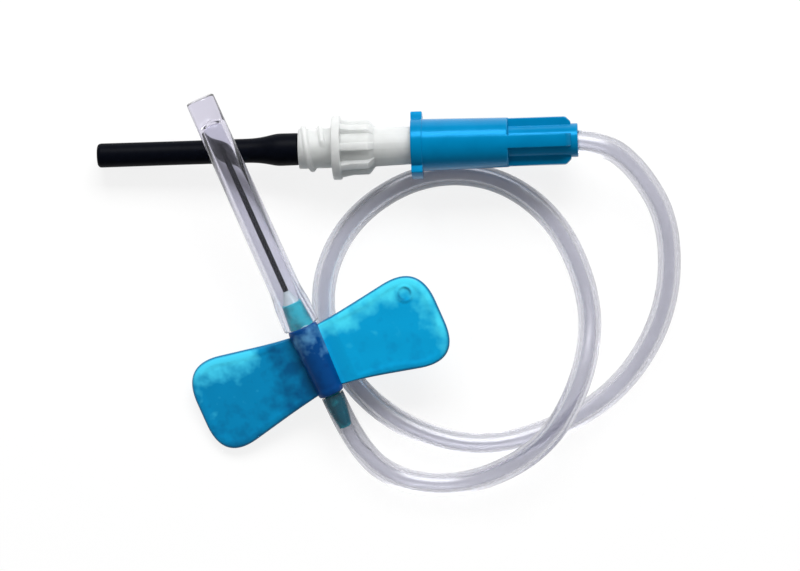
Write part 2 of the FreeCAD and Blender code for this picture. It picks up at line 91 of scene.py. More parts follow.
def skin(name, points, loop):
    """A closed mesh over a grid of points. Its rows go round the form and meet again, and its
    columns go along it, and meet again where loop is true. Points that fall together, as at a
    pole, become one. The UV map holds the share of a turn and the length along, in metres."""
    rows, columns = points.shape[:2]
    row = np.arange(rows)[:, None]
    column = np.arange(columns if loop else columns - 1)[None, :]
    next_row, next_column = (row + 1) % rows, (column + 1) % columns
    quads = np.stack([row * columns + column, next_row * columns + column,
                      next_row * columns + next_column, row * columns + next_column], axis=-1)
    mesh = bpy.data.meshes.new(name)
    mesh.from_pydata(points.reshape(-1, 3).tolist(), [], quads.reshape(-1, 4).tolist())

    steps = np.linalg.norm(np.roll(points[0], -1, axis=0) - points[0], axis=1)
    run = np.concatenate([[0.0], np.cumsum(steps)])
    ones = np.ones_like(row + column, dtype=float)
    around = np.stack([row * ones, (row + 1) * ones, (row + 1) * ones, row * ones], axis=-1) / rows
    along = np.stack([run[column] * ones, run[column] * ones,
                      run[column + 1] * ones, run[column + 1] * ones], axis=-1)
    mesh.uv_layers.new(name="run").data.foreach_set("uv", np.stack([around, along], axis=-1).ravel())

    whole = bmesh.new()
    whole.from_mesh(mesh)
    bmesh.ops.remove_doubles(whole, verts=whole.verts, dist=1e-7)
    bmesh.ops.recalc_face_normals(whole, faces=whole.faces)
    whole.to_mesh(mesh)
    whole.free()
    mesh.shade_smooth()
    mesh.set_sharp_from_angle(angle=np.radians(32))
    piece = bpy.data.objects.new(name, mesh)
    bpy.context.scene.collection.objects.link(piece)
    return piece


def linear(colour):
    """The linear colour of an sRGB hex value."""
    value = np.array([int(colour[i:i + 2], 16) for i in (1, 3, 5)]) / 255
    value = np.where(value <= 0.04045, value / 12.92, ((value + 0.055) / 1.055) ** 2.4)
    return (*value.tolist(), 1.0)


def add_node(material, kind, inputs={}, **settings):
    """Adds a node. Each input is a value, or a socket that it is linked from."""
    node = material.node_tree.nodes.new(kind)
    for setting, value in settings.items():
        setattr(node, setting, value)
    for socket, value in inputs.items():
        if isinstance(value, bpy.types.NodeSocket):
            material.node_tree.links.new(value, node.inputs[socket])
        else:
            node.inputs[socket].default_value = value
    return node


# Drawn and electropolished stainless steel: a mirror, broken by faint draw lines along the
# tube, 40 round it, so 0.05 mm apart. Its colour is painted far darker than steel's, as a painted
# dark reflection of the surroundings. The colour sockets of a Mix node share their names with its
# other sockets, so they go by number.
COLOUR_A, COLOUR_B, MIXED = 6, 7, 2
drawn_steel = bpy.data.materials.new("drawn_stainless_steel")
drawn_steel.use_nodes = True
steel_surface = drawn_steel.node_tree.nodes["Principled BSDF"]
steel_surface.inputs["Metallic"].default_value = 1.0
steel_surface.inputs["Roughness"].default_value = 0.3
steel_place = add_node(drawn_steel, "ShaderNodeUVMap", uv_map="run")
draw_stretch = add_node(drawn_steel, "ShaderNodeMapping", {
    "Vector": steel_place.outputs["UV"], "Scale": (40, 60, 1)})
draw_lines = add_node(drawn_steel, "ShaderNodeTexNoise", {
    "Vector": draw_stretch.outputs["Vector"], "Scale": 1.0, "Detail": 3.0}, noise_dimensions="2D")
steel_painted_dark_tone = add_node(drawn_steel, "ShaderNodeMix", {
    "Factor": draw_lines.outputs["Fac"], COLOUR_A: linear("#191A20"), COLOUR_B: linear("#34353C")},
    data_type="RGBA")
drawn_steel.node_tree.links.new(steel_painted_dark_tone.outputs[MIXED], steel_surface.inputs["Base Color"])


def ground_tube(name, line, start, tip, bore, radius, slope, side_slope):
    """A needle: a tube whose far end is cut by three planes through its lowest point. The station
    of the end is the least of tip - slope * height and tip - side slope * (distance to the side +
    height), with the height counted from the tube's lowest line."""
    angles = full_turn(64)
    ends = []
    for reach in (radius, bore):
        height = reach * np.sin(angles) + radius
        beside = reach * np.abs(np.cos(angles))
        ends.append(np.minimum(tip - slope * height, tip - side_slope * (beside + height)))
    flat = np.full_like(angles, start)
    stations = np.stack([flat, flat, ends[0], ends[1]], axis=1)
    radii = np.broadcast_to([bore, radius, radius, bore], stations.shape)
    return skin(name, turned(line, stations, radii, angles), loop=True)


patient_needle = ground_tube("patient_needle", set_line, needle_start, needle_tip, needle_bore,
                             needle_radius, bevel_slope, side_grind_slope)
patient_needle.data.materials.append(drawn_steel)
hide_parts("patient_cannula")
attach(patient_needle, "set")


# Needle hub: moulded in translucent teal plastic. The sheath is pushed onto its tapered nose, the
# wings are moulded over its barrel, and the tube is pushed over the tapered spigot at its tail.
nose_end = 5.4
nose_bore = 0.35
hub_profile = [(-10.3, 0.3), (-10.3, 0.5), (-8.6, 0.67), (-6.2, 0.95), (-6.2, 1.15), (2.43, 1.15),
               (2.43, 1.45), (nose_end, 1.15), (nose_end, nose_bore), (0.37, nose_bore), (0.37, 0.3)]


def softened(corners, size, loop=True, steps=4):
    """A profile with rounded corners. Each corner becomes a parabola that starts and ends at a
    distance of size from it, or at 0.45 of an edge that is short."""
    corners = np.array(corners, dtype=float)
    back = np.roll(corners, 1, axis=0) - corners
    ahead = np.roll(corners, -1, axis=0) - corners
    if not loop:
        back[0], ahead[0], back[-1], ahead[-1] = 0, 0, 0, 0
    reach = np.broadcast_to(size, len(corners))[:, None]
    back *= np.minimum(0.45, reach / np.maximum(np.linalg.norm(back, axis=1, keepdims=True), 1e-6))
    ahead *= np.minimum(0.45, reach / np.maximum(np.linalg.norm(ahead, axis=1, keepdims=True), 1e-6))
    share = np.linspace(0, 1, steps)[None, :, None]
    curve = corners[:, None] + (1 - share) ** 2 * back[:, None] + share ** 2 * ahead[:, None]
    return curve.reshape(-1, corners.shape[1])


hub_line = softened(hub_profile, 0.08)
hub = skin("needle_hub_moulding",
           turned(set_line, hub_line[:, 0], hub_line[:, 1], full_turn(64)), loop=True)


def across_and_along(piece):
    """Where each vertex stands across and along the needle set, in millimetres."""
    places = np.empty(3 * len(piece.data.vertices))
    piece.data.vertices.foreach_get("co", places)
    return ((places.reshape(-1, 3) - set_origin) @ np.stack([set_side, set_along], axis=1) / MM).T


def mark(piece, name, shares):
    """Keeps a share for each vertex under a name."""
    piece.data.attributes.new(name, "FLOAT", "POINT").data.foreach_set("value", shares)


# Polycarbonate, injection moulded: clear and hard, tinted teal, with clouds about 1 mm across. Along
# the hub its tone is painted: darker in the slim tail as painted shade, and brighter in the nose as
# painted light, where light enters through the sheath
along = across_and_along(hub)[1]
mark(hub, "painted_lighting", 0.9 * np.clip((along + 4.0) / 8.0, 0, 1))
teal_polycarbonate = bpy.data.materials.new("teal_polycarbonate")
teal_polycarbonate.use_nodes = True
teal_surface = teal_polycarbonate.node_tree.nodes["Principled BSDF"]
teal_surface.inputs["IOR"].default_value = 1.58
teal_surface.inputs["Roughness"].default_value = 0.18
teal_surface.inputs["Specular IOR Level"].default_value = 0.15
teal_surface.inputs["Transmission Weight"].default_value = 0.1
teal_place = add_node(teal_polycarbonate, "ShaderNodeTexCoord")
teal_clouds = add_node(teal_polycarbonate, "ShaderNodeTexNoise", {
    "Vector": teal_place.outputs["Object"], "Scale": 1 / (1.1 * MM), "Detail": 1.0})
teal_painted_lighting = add_node(teal_polycarbonate, "ShaderNodeAttribute", attribute_name="painted_lighting")
teal_waves = add_node(teal_polycarbonate, "ShaderNodeMath", {
    0: teal_clouds.outputs["Fac"], 1: 2.0, 2: -1.0}, operation="MULTIPLY_ADD")
teal_share = add_node(teal_polycarbonate, "ShaderNodeMath", {
    0: teal_painted_lighting.outputs["Fac"], 1: teal_waves.outputs[0]}, operation="ADD", use_clamp=True)
teal_tone = add_node(teal_polycarbonate, "ShaderNodeMix", {
    "Factor": teal_share.outputs[0], COLOUR_A: linear("#00586C"), COLOUR_B: linear("#2CBCCE")},
    data_type="RGBA")
teal_polycarbonate.node_tree.links.new(teal_tone.outputs[MIXED], teal_surface.inputs["Base Color"])
hub.data.materials.append(teal_polycarbonate)
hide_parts("needle_hub")
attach(hub, "set")


# Adhesive that fixes the needle: one drop of clear resin, set by light. It climbs the needle in a
# hollow curve, as a wetting drop does.
bead_end = 6.9
bead_foot = 0.96
bead_tip = 0.36

# The radius is the tip's, plus the rest of the foot's times the share of the climb still to go to
# the power 1.6 and times 1 plus half the share gone.
bead_share = np.linspace(0, 1, 14)
bead_stations = nose_end + (bead_end - nose_end) * bead_share
bead_radii = bead_tip + (bead_foot - bead_tip) * (1 - bead_share) ** 1.6 * (1 + 0.5 * bead_share)
bead_line = np.concatenate([np.stack([bead_stations, bead_radii], axis=1),
                            [(bead_end, nose_bore), (nose_end, nose_bore)]])
bead = skin("needle_adhesive",
            turned(set_line, bead_line[:, 0], bead_line[:, 1], full_turn(48)), loop=True)

# Cured acrylic adhesive: glassy, almost without colour, its surface smoothed by its own tension
clear_adhesive = bpy.data.materials.new("cured_acrylic_adhesive")
clear_adhesive.use_nodes = True
adhesive_surface = clear_adhesive.node_tree.nodes["Principled BSDF"]
adhesive_surface.inputs["IOR"].default_value = 1.49
adhesive_surface.inputs["Roughness"].default_value = 0.05
adhesive_surface.inputs["Transmission Weight"].default_value = 0.4
adhesive_surface.inputs["Specular IOR Level"].default_value = 0.3
adhesive_place = add_node(clear_adhesive, "ShaderNodeTexCoord")
adhesive_clouds = add_node(clear_adhesive, "ShaderNodeTexNoise", {
    "Vector": adhesive_place.outputs["Object"], "Scale": 1 / (0.8 * MM)})
adhesive_tone = add_node(clear_adhesive, "ShaderNodeMix", {
    "Factor": adhesive_clouds.outputs["Fac"], COLOUR_A: linear("#DDF2F6"), COLOUR_B: linear("#FAFEFE")},
    data_type="RGBA")
clear_adhesive.node_tree.links.new(adhesive_tone.outputs[MIXED], adhesive_surface.inputs["Base Color"])
bead.data.materials.append(clear_adhesive)
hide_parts("hub_adhesive")
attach(bead, "set")


# Wing sleeve: the thick middle of the wings, soft blue PVC moulded over the hub's barrel. It tapers
# towards the tube, and a shallow collar at each end is where it shuts off against the mould.
sleeve_profile = [(-6.1, 1.18), (-6.1, 1.45), (-5.6, 1.57), (-5.1, 1.54), (1.3, 1.76), (1.8, 1.8),
                  (2.4, 1.7), (2.4, 1.18)]
sleeve_line = softened(sleeve_profile, 0.16)
sleeve = skin("wing_sleeve_moulding",
              turned(set_line, sleeve_line[:, 0], sleeve_line[:, 1], full_turn(72)), loop=True)


def soft_pvc(name, deep, middle, light, patch):
    """Plasticised PVC in a tint, injection moulded: soft gloss with a fine orange-peel skin. The mesh's
    painted lighting plus clouds of the given size in millimetres, which swing evenly round zero, pick
    the tone: deep well below zero, light in patches well above it, and even between them. The deep
    tone is painted shade and the light patches are painted highlights, mottled at random by the
    clouds. The thin edge is painted darker, as painted shade."""
    cloud_swing = 1.7
    material = bpy.data.materials.new(name)
    material.use_nodes = True
    surface = material.node_tree.nodes["Principled BSDF"]
    surface.inputs["IOR"].default_value = 1.53
    surface.inputs["Roughness"].default_value = 0.36
    surface.inputs["Specular IOR Level"].default_value = 0.14
    place = add_node(material, "ShaderNodeTexCoord")
    painted_lighting = add_node(material, "ShaderNodeAttribute", attribute_name="painted_lighting")
    clouds = add_node(material, "ShaderNodeTexNoise", {
        "Vector": place.outputs["Object"], "Scale": 1 / (patch * MM), "Detail": 2.0, "Roughness": 0.5})
    clouded = add_node(material, "ShaderNodeMath", {
        0: clouds.outputs["Fac"], 1: cloud_swing, 2: -cloud_swing / 2}, operation="MULTIPLY_ADD")
    total = add_node(material, "ShaderNodeMath", {
        0: painted_lighting.outputs["Fac"], 1: clouded.outputs[0]}, operation="ADD")
    share = add_node(material, "ShaderNodeMapRange", {"Value": total.outputs[0], "From Min": -1.0})
    tone = add_node(material, "ShaderNodeValToRGB", {"Fac": share.outputs["Result"]})
    tone.color_ramp.elements[0].position = 0.04
    tone.color_ramp.elements[0].color = linear(deep)
    tone.color_ramp.elements[1].position = 1.0
    tone.color_ramp.elements[1].color = linear(light)
    tone.color_ramp.elements.new(0.45).color = linear(middle)
    tone.color_ramp.elements.new(0.6).color = linear(middle)
    edge = add_node(material, "ShaderNodeAttribute", attribute_name="edge")
    edge_painted_shaded = add_node(material, "ShaderNodeMix", {
        "Factor": edge.outputs["Fac"], COLOUR_A: tone.outputs["Color"], COLOUR_B: linear("#0F6A94")},
        data_type="RGBA")
    peel = add_node(material, "ShaderNodeTexNoise", {
        "Vector": place.outputs["Object"], "Scale": 1 / (0.35 * MM), "Detail": 2.0})
    bumps = add_node(material, "ShaderNodeBump", {
        "Height": peel.outputs["Fac"], "Strength": 0.2, "Distance": 0.04 * MM})
    material.node_tree.links.new(edge_painted_shaded.outputs[MIXED], surface.inputs["Base Color"])
    material.node_tree.links.new(bumps.outputs["Normal"], surface.inputs["Normal"])
    return material


# The sleeve is the same PVC as the wings, but three times as thick and over a dark hub, so it looks
# navy. A pale band near its front end is painted light, where the nose lights it from within, and
# its light patches are painted highlights
sleeve_pvc = soft_pvc("thick_soft_pvc", "#002A60", "#00407E", "#66A8D4", patch=1.4)
along = across_and_along(sleeve)[1]
mark(sleeve, "painted_lighting", 0.8 * np.exp(-((along - 0.9) / 1.5) ** 2) - 0.3)
sleeve.data.materials.append(sleeve_pvc)
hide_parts("wing_sleeve")
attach(sleeve, "set")


# Wings: two leaves of soft, light blue PVC, the colour that marks 23 gauge, moulded in one with the
# sleeve. Each has a thin root that bends as a living hinge and a raised border; the right one also
# has the ring that the mould's ejector pin leaves.
wing_root = 1.2
wing_half_thickness = 0.5
wing_edge = 0.42
wing_middle = np.array([9.0, -2.2])
wing_drop = -0.3
wing_softening = [0.1, 2.5, 5.0, 5.0, 2.5, 0.1]
hinge_share = 0.62
hinge_end, relief_start, fade_run = 2.0, 3.2, 1.6
border_inset, border_half_width = 0.8, 0.4
border_height, wave_height, ring_height = 0.05, 0.02, 0.07
face_sink = 0.06
back_wave_height = 0.03
painted_highlight_width = 2.4
ring_place = (12.6, 1.4)
ring_radius = 0.85
ring_half_width = 0.2


def arc_spaced(closed_line, count):
    """Points evenly spaced along a closed line: the line's points are read off at equal shares
    of its length."""
    steps = np.linalg.norm(np.roll(closed_line, -1, axis=0) - closed_line, axis=1)
    run = np.concatenate([[0.0], np.cumsum(steps)])
    line = np.concatenate([closed_line, closed_line[:1]])
    wanted = np.arange(count) / count * run[-1]
    return np.stack([np.interp(wanted, run, line[:, 0]), np.interp(wanted, run, line[:, 1])], axis=1)


def wing_leaf(name, hand, corners):
    """A leaf as a closed skin about its middle. A point of the outline is drawn in towards the
    middle by a share: from 0 at the middle to near 1 on the flat, then round the edge as a quarter
    ellipse above and another below. The face stands up in a bell at the border, in another along a
    ring, and in slow crossed waves. All three fade out at the root, where the leaf thins to its hinge."""
    outline = arc_spaced(softened(corners, wing_softening, steps=24), 320)
    arms = outline - wing_middle
    reach = np.linalg.norm(arms, axis=1)[:, None]
    inside = np.linspace(0, 1, 72) ** 0.85
    turn = np.linspace(0, np.pi / 2, 8)[1:]
    flat_share = inside[None, :] * (1 - wing_edge / reach)
    round_share = 1 - wing_edge * (1 - np.sin(turn)) / reach
    share = np.concatenate([flat_share, round_share], axis=1)
    height = np.concatenate([np.ones_like(inside), np.cos(turn)])
    x = wing_middle[0] + share * arms[:, :1]
    y = wing_middle[1] + share * arms[:, 1:]

    inset = (1 - share) * reach
    border = np.exp(-((inset - border_inset) / border_half_width) ** 2)
    from_ring = np.hypot(x - ring_place[0], y - ring_place[1]) - ring_radius
    ring = np.exp(-(from_ring / ring_half_width) ** 2) * (hand > 0)
    waves = np.sin(1.1 * x + 0.6 * y + hand) * np.sin(0.9 * y - 0.5 * x)
    leaf = np.clip((x - relief_start) / fade_run, 0, 1)
    root = hinge_share + (1 - hinge_share) * np.clip((x - hinge_end) / fade_run, 0, 1)
    face = wing_half_thickness * root * height
    relief = leaf * height * (border_height * border + wave_height * waves + ring_height * ring)
    top = face + relief - face_sink * leaf * height
    below = -face + back_wave_height * leaf * height * waves

    x = np.concatenate([x, x[:, ::-1]], axis=1)
    y = np.concatenate([y, y[:, ::-1]], axis=1)
    z = np.concatenate([top, below[:, ::-1]], axis=1) + wing_drop
    origin, along, side, up = set_line
    points = origin + MM * (hand * x[..., None] * side + y[..., None] * along + z[..., None] * up)
    return skin(name, points, loop=False)


def along_front(across, along, corners):
    """A bell along the front edge for the painted highlight: 1 on the line from the root's front corner
    to the tip's, falling off behind it over the highlight's width."""
    (root_x, root_y), (tip_x, tip_y) = corners[0], corners[2]
    front = root_y + (across - root_x) * (tip_y - root_y) / (tip_x - root_x)
    return np.exp(-((front - along) / painted_highlight_width) ** 2)


def right_painted_lighting(across, along, corners):
    """Painted highlight along the front edge and, more weakly, along the tip, and painted shade slightly
    at the back.
    """
    tip = np.exp(-((corners[2][0] - across) / painted_highlight_width) ** 2)
    back = np.clip((-along - 3.0) / 4.0, 0, 1)
    return 1.05 * along_front(across, along, corners) + 0.75 * tip - 0.3 * back


def left_painted_lighting(across, along, corners):
    """Painted highlight along the outer half of the front edge, painted shade over the root and slightly
    at the back.
    """
    outer = np.clip((-across - 4.0) / 3.5, 0, 1)
    root = np.exp(-((-across - 1.0) / 4.6) ** 2)
    back = np.clip((-along - 4.0) / 4.0, 0, 1)
    return 1.4 * outer * along_front(-across, along, corners) - 0.95 * root - 0.35 * back


def painted_shade_share(piece, hand):
    """Which part of a leaf is painted dark, as painted shade: its edge, where the normal leans off the
    set's upper side, and on the right leaf two opposite arcs just inside the crest of the ejector pin's
    ring."""
    normals = np.empty(3 * len(piece.data.vertices))
    piece.data.vertices.foreach_get("normal", normals)
    edge = np.clip(2.5 * (1 - np.abs(normals.reshape(-1, 3) @ set_line[3])), 0, 1)
    across, along = across_and_along(piece)
    x, y = across - ring_place[0], along - ring_place[1]
    ring = np.exp(-((np.hypot(x, y) - ring_radius + 0.15) / 0.16) ** 2)
    arcs = np.clip(1.5 * np.abs(np.cos(np.arctan2(y, x) - 0.4)) - 0.4, 0, 1)
    return np.maximum(edge, 0.75 * ring * arcs * (hand > 0))


right_corners = [(wing_root, 1.9), (4.5, 2.3), (15.5, 4.15), (15.5, -8.4), (4.5, -6.0), (wing_root, -5.6)]
left_corners = [(wing_root, 1.6), (4.5, 1.95), (15.1, 3.7), (15.1, -8.9), (4.5, -6.4), (wing_root, -5.75)]

# The left leaf is tilted away from the lamp, so it has a shaded copy of the PVC: its three tones are
# painted darker than the right leaf's, as painted shade
lit_right_pvc = soft_pvc("soft_pvc_painted_lit", "#0084BE", "#00A4DC", "#48E2FF", patch=1.8)
shaded_left_pvc = soft_pvc("soft_pvc_painted_shaded", "#00588A", "#008AC0", "#48DCFF", patch=1.7)
for hand, body, corners, pvc, painted_lighting in (
        (1, "right_wing", right_corners, lit_right_pvc, right_painted_lighting),
        (-1, "left_wing", left_corners, shaded_left_pvc, left_painted_lighting)):
    wing = wing_leaf("%s_leaf" % body, hand, corners)
    # Painted light and shade over each leaf, and painted shade at its edge
    mark(wing, "painted_lighting", painted_lighting(*across_and_along(wing), corners))
    mark(wing, "edge", painted_shade_share(wing, hand))
    wing.data.materials.append(pvc)
    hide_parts("wing_right" if hand > 0 else "wing_left")
    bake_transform(wing)


# Needle sheath: injection moulded in clear polypropylene, a tube whose wide collar grips the hub's
# nose and whose far end is closed by a solid plug, where the plastic was let into the mould.
sheath_profile = [(31.2, 0), (31.2, 1.68), (6.8, 1.82), (5.2, 2.08), (2.5, 2.12), (2.5, 1.53),
                  (5.5, 1.23), (27.9, 1.13), (28.5, 0)]
sheath_softening = [0, 0.3, 0.8, 0.8, 0.12, 0.12, 0.2, 0.5, 0]
plug_start = 27.6
sheath_line = softened(sheath_profile, sheath_softening, loop=False, steps=6)
sheath = skin("needle_sheath_moulding",
              turned(set_line, sheath_line[:, 0], sheath_line[:, 1], full_turn(96)), loop=False)


def let_light_in(material, share):
    """Lets a share of the light straight through a clear wall, as the real one does, so that what
    lies inside or behind is lit. To the eye and in reflections the wall is as solid as before."""
    ray = add_node(material, "ShaderNodeLightPath")
    light = add_node(material, "ShaderNodeMath", {
        0: ray.outputs["Is Shadow Ray"], 1: ray.outputs["Is Diffuse Ray"]}, operation="MAXIMUM")
    closed = add_node(material, "ShaderNodeMath", {0: light.outputs[0], 1: -share, 2: 1.0},
                      operation="MULTIPLY_ADD")
    surface = material.node_tree.nodes["Principled BSDF"]
    material.node_tree.links.new(closed.outputs[0], surface.inputs["Alpha"])


# Clear polypropylene, injection moulded: glassy, with a lilac-grey cast that is deeper in the solid
# plug, and weak clouds of haze about 2 mm across
along = across_and_along(sheath)[1]
mark(sheath, "plug", np.clip(along - plug_start, 0, 1))
clear_polypropylene = bpy.data.materials.new("clear_polypropylene")
clear_polypropylene.use_nodes = True
sheath_surface = clear_polypropylene.node_tree.nodes["Principled BSDF"]
sheath_surface.inputs["IOR"].default_value = 1.49
sheath_surface.inputs["Specular IOR Level"].default_value = 0.2
sheath_surface.inputs["Transmission Weight"].default_value = 1.0
sheath_place = add_node(clear_polypropylene, "ShaderNodeTexCoord")
haze = add_node(clear_polypropylene, "ShaderNodeTexNoise", {
    "Vector": sheath_place.outputs["Object"], "Scale": 1 / (2.2 * MM), "Detail": 2.0})
sheath_tone = add_node(clear_polypropylene, "ShaderNodeMix", {
    "Factor": haze.outputs["Fac"], COLOUR_A: linear("#DADAE5"), COLOUR_B: linear("#EAEAF1")},
    data_type="RGBA")
plug = add_node(clear_polypropylene, "ShaderNodeAttribute", attribute_name="plug")
sheath_cast = add_node(clear_polypropylene, "ShaderNodeMix", {
    "Factor": plug.outputs["Fac"], COLOUR_A: sheath_tone.outputs[MIXED], COLOUR_B: linear("#D6D3E2")},
    data_type="RGBA")
sheath_gloss = add_node(clear_polypropylene, "ShaderNodeMapRange", {
    "Value": haze.outputs["Fac"], "To Min": 0.06, "To Max": 0.14})
clear_polypropylene.node_tree.links.new(sheath_cast.outputs[MIXED], sheath_surface.inputs["Base Color"])
clear_polypropylene.node_tree.links.new(sheath_gloss.outputs["Result"], sheath_surface.inputs["Roughness"])
let_light_in(clear_polypropylene, 0.85)
sheath.data.materials.append(clear_polypropylene)
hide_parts("needle_sheath")
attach(sheath, "sheath")


# Tube: clear, limp PVC, extruded hollow and cut to 180 mm. It is pushed over the hub's spigot, lies in
# one loop under the connector and the wing, crosses over itself, and is glued into the connector.
tube_radius = 1.325
bore_stations = [0, 2.3, 4.0, 4.4]
bore_radii = [0.92, 0.65, 0.48, 0.65]
held_to, free_from = 4.0, 8.0
tube_start = -6.3
tail_run = 7.0
outlet_run = 6.2
tube_end = 51.9

line_along = -np.array(joints["adapter_pull"]["axis"])
line_side = np.array([-line_along[1], line_along[0], 0.0])
line_side = line_side / np.linalg.norm(line_side)
line_origin = np.array(mounts["rear_needle_end"]["pos_m"])
connector_line = (line_origin, line_along, line_side, np.cross(line_along, line_side))

tube_route = np.array([
    (7.3, -24.5, 1.325), (15.6, -24.8, 2.0), (24.0, -20.4, 4.4), (28.5, -12.3, 4.5),
    (29.6, -3.7, 1.9), (25.7, 5.9, 1.325), (18.2, 11.3, 1.325), (9.0, 11.3, 1.325),
    (0.9, 5.8, 1.325), (-2.4, -2.8, 1.325), (0.2, -11.6, 1.325), (7.1, -18.0, 1.325),
    (16.4, -20.7, 1.325), (25.8, -18.2, 1.325), (33.5, -13.0, 1.325), (38.3, -4.3, 1.5),
    (38.5, 5.4, 2.4), (34.8, 11.8, 4.0)]) * MM
tube_route = np.concatenate([
    [set_origin + MM * tube_start * set_along, set_origin + MM * (tube_start - tail_run) * set_along],
    tube_route,
    [line_origin + MM * (tube_end + outlet_run) * line_along, line_origin + MM * tube_end * line_along]])

route_curve = bpy.data.curves.new("tube_route", "CURVE")
route_curve.dimensions = "3D"
route_spline = route_curve.splines.new("NURBS")
route_spline.points.add(len(tube_route) - 1)
route_spline.points.foreach_set("co", np.insert(tube_route, 3, 1.0, axis=1).ravel())
route_spline.order_u = 3
route_spline.use_endpoint_u = True
route_spline.resolution_u = 22
route_mesh = bpy.data.meshes.new_from_object(bpy.data.objects.new("tube_route", route_curve))
tube_centre = np.empty(3 * len(route_mesh.vertices))
route_mesh.vertices.foreach_get("co", tube_centre)
tube_centre = tube_centre.reshape(-1, 3)


def swept(centre, radii, angles):
    """Rings of points carried along a line. Each ring stands square to the line's direction there,
    with one arm level and the other at right angles to both."""
    ahead = np.gradient(centre, axis=0)
    ahead /= np.linalg.norm(ahead, axis=1, keepdims=True)
    level = np.cross(ahead, (0.0, 0.0, 1.0))
    level /= np.linalg.norm(level, axis=1, keepdims=True)
    upper = np.cross(level, ahead)
    arms = np.cos(angles)[:, None, None] * level + np.sin(angles)[:, None, None] * upper
    return centre + MM * radii[:, None] * arms


# The skin runs out along the outside and back along the bore. At its mouth the bore is stretched over
# the straight spigot and clings to it, so the teal shows through the wall with no air between. Its
# middle keeps to the spigot's line at first, and then moves over evenly to the tube's own.
outside = swept(tube_centre, np.full(len(tube_centre), tube_radius), full_turn(80))
steps = np.linalg.norm(np.diff(tube_centre, axis=0), axis=1)
from_mouth = np.concatenate([[0.0], np.cumsum(steps)]) / MM
on_spigot = np.clip((free_from - from_mouth) / (free_from - held_to), 0, 1)[:, None]
straight = tube_centre[0] - MM * from_mouth[:, None] * set_along
bore_centre = tube_centre + on_spigot * (straight - tube_centre)
inside = swept(bore_centre, np.interp(from_mouth, bore_stations, bore_radii), full_turn(80))
tube = skin("clear_tube", np.concatenate([outside, inside[:, ::-1]], axis=1), loop=True)

# Clear plasticised PVC, extruded: a soft, faintly frosted gloss, lilac-grey in its thick wall, with
# faint lines along it from the die, 30 round it, so 0.3 mm apart
clear_pvc = bpy.data.materials.new("clear_extruded_pvc")
clear_pvc.use_nodes = True
tube_surface = clear_pvc.node_tree.nodes["Principled BSDF"]
tube_surface.inputs["IOR"].default_value = 1.53
tube_surface.inputs["Roughness"].default_value = 0.26
tube_surface.inputs["Specular IOR Level"].default_value = 0.15
tube_surface.inputs["Transmission Weight"].default_value = 1.0
tube_place = add_node(clear_pvc, "ShaderNodeUVMap", uv_map="run")
die_stretch = add_node(clear_pvc, "ShaderNodeMapping", {
    "Vector": tube_place.outputs["UV"], "Scale": (30, 50, 1)})
die_lines = add_node(clear_pvc, "ShaderNodeTexNoise", {
    "Vector": die_stretch.outputs["Vector"], "Scale": 1.0, "Detail": 2.0}, noise_dimensions="2D")
tube_tone = add_node(clear_pvc, "ShaderNodeMix", {
    "Factor": die_lines.outputs["Fac"], COLOUR_A: linear("#D6D6DE"), COLOUR_B: linear("#E0E0E7")},
    data_type="RGBA")
clear_pvc.node_tree.links.new(tube_tone.outputs[MIXED], tube_surface.inputs["Base Color"])
let_light_in(clear_pvc, 0.85)
tube.data.materials.append(clear_pvc)
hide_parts("tubing")
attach(tube, "set")


# Female luer connector: moulded in glossy blue ABS. Two lugs at its mouth screw under a locking
# collar, and four fins stiffen the neck that holds the tube.
lug_half_width = 1.4
lug_turn = np.radians(15)
lugs_before = 40
fin_half_width = 0.75

# The core, lug and fin profiles go together corner by corner, so the core repeats a corner.
connector_core = [(36.4, 2.18), (36.4, 3.15), (37.7, 3.15), (37.7, 3.0), (47.6, 2.86), (47.6, 1.95),
                  (54.2, 1.95), (54.8, 1.95), (54.8, 1.95), (55.6, 1.95), (55.6, 1.355), (51.8, 1.355),
                  (51.8, 0.6), (43.2, 0.6), (43.2, 1.98)]
connector_lug = [(36.4, 2.18), (36.4, 3.9), (37.7, 3.9)] + connector_core[3:]
connector_fin = connector_core[:5] + [(47.6, 2.79), (54.2, 2.79), (54.8, 2.2), (54.8, 1.95)]
connector_fin += connector_core[9:]
connector_softening = [0.1, 0.12, 0.12, 0.05, 0.3, 0.15, 0.2, 0.15, 0.05, 0.12, 0.12,
                       0.05, 0.05, 0.05, 0.05]


def ridged(core, ridge, half_width, from_middle):
    """Radii and stations of a turned form with parallel-sided ridges. Away from a ridge a point is
    the core profile's, on it the ridge profile's, and between them it is half the ridge's width
    from the ridge's middle plane: half width / sin of the angle from that plane. Both turns are
    eased over 0.05 mm."""
    low, high = core[None, :, 1], ridge[None, :, 1]
    flank = half_width / np.maximum(np.abs(np.sin(from_middle)), 1e-3)[:, None]
    ease = 0.05
    capped = -ease * np.logaddexp(-high / ease, -flank / ease)
    capped = np.where(flank > high + 0.5, high, capped)
    radii = np.where(high > low + 1e-6, np.clip(capped, low, high), low)
    share = (radii - low) / np.maximum(high - low, 1e-6)
    stations = core[None, :, 0] + share * (ridge[None, :, 0] - core[None, :, 0])
    return radii, stations


def from_nearest(angles, first, count):
    """The angle from the middle of the nearest of some evenly spaced ridges."""
    step = 2 * np.pi / count
    return (angles - first + step / 2) % step - step / 2


connector_angles = full_turn(288)
core = softened(connector_core, connector_softening, steps=5)
lug = softened(connector_lug, connector_softening, steps=5)
fin = softened(connector_fin, connector_softening, steps=5)
lug_radii, lug_stations = ridged(core, lug, lug_half_width, from_nearest(connector_angles, -lug_turn, 2))
fin_radii, fin_stations = ridged(core, fin, fin_half_width, from_nearest(connector_angles, 0, 4))
on_lug = core[:, 0] < lugs_before
connector = skin("luer_connector_moulding", turned(
    connector_line, np.where(on_lug, lug_stations, fin_stations), np.where(on_lug, lug_radii, fin_radii),
    connector_angles), loop=True)

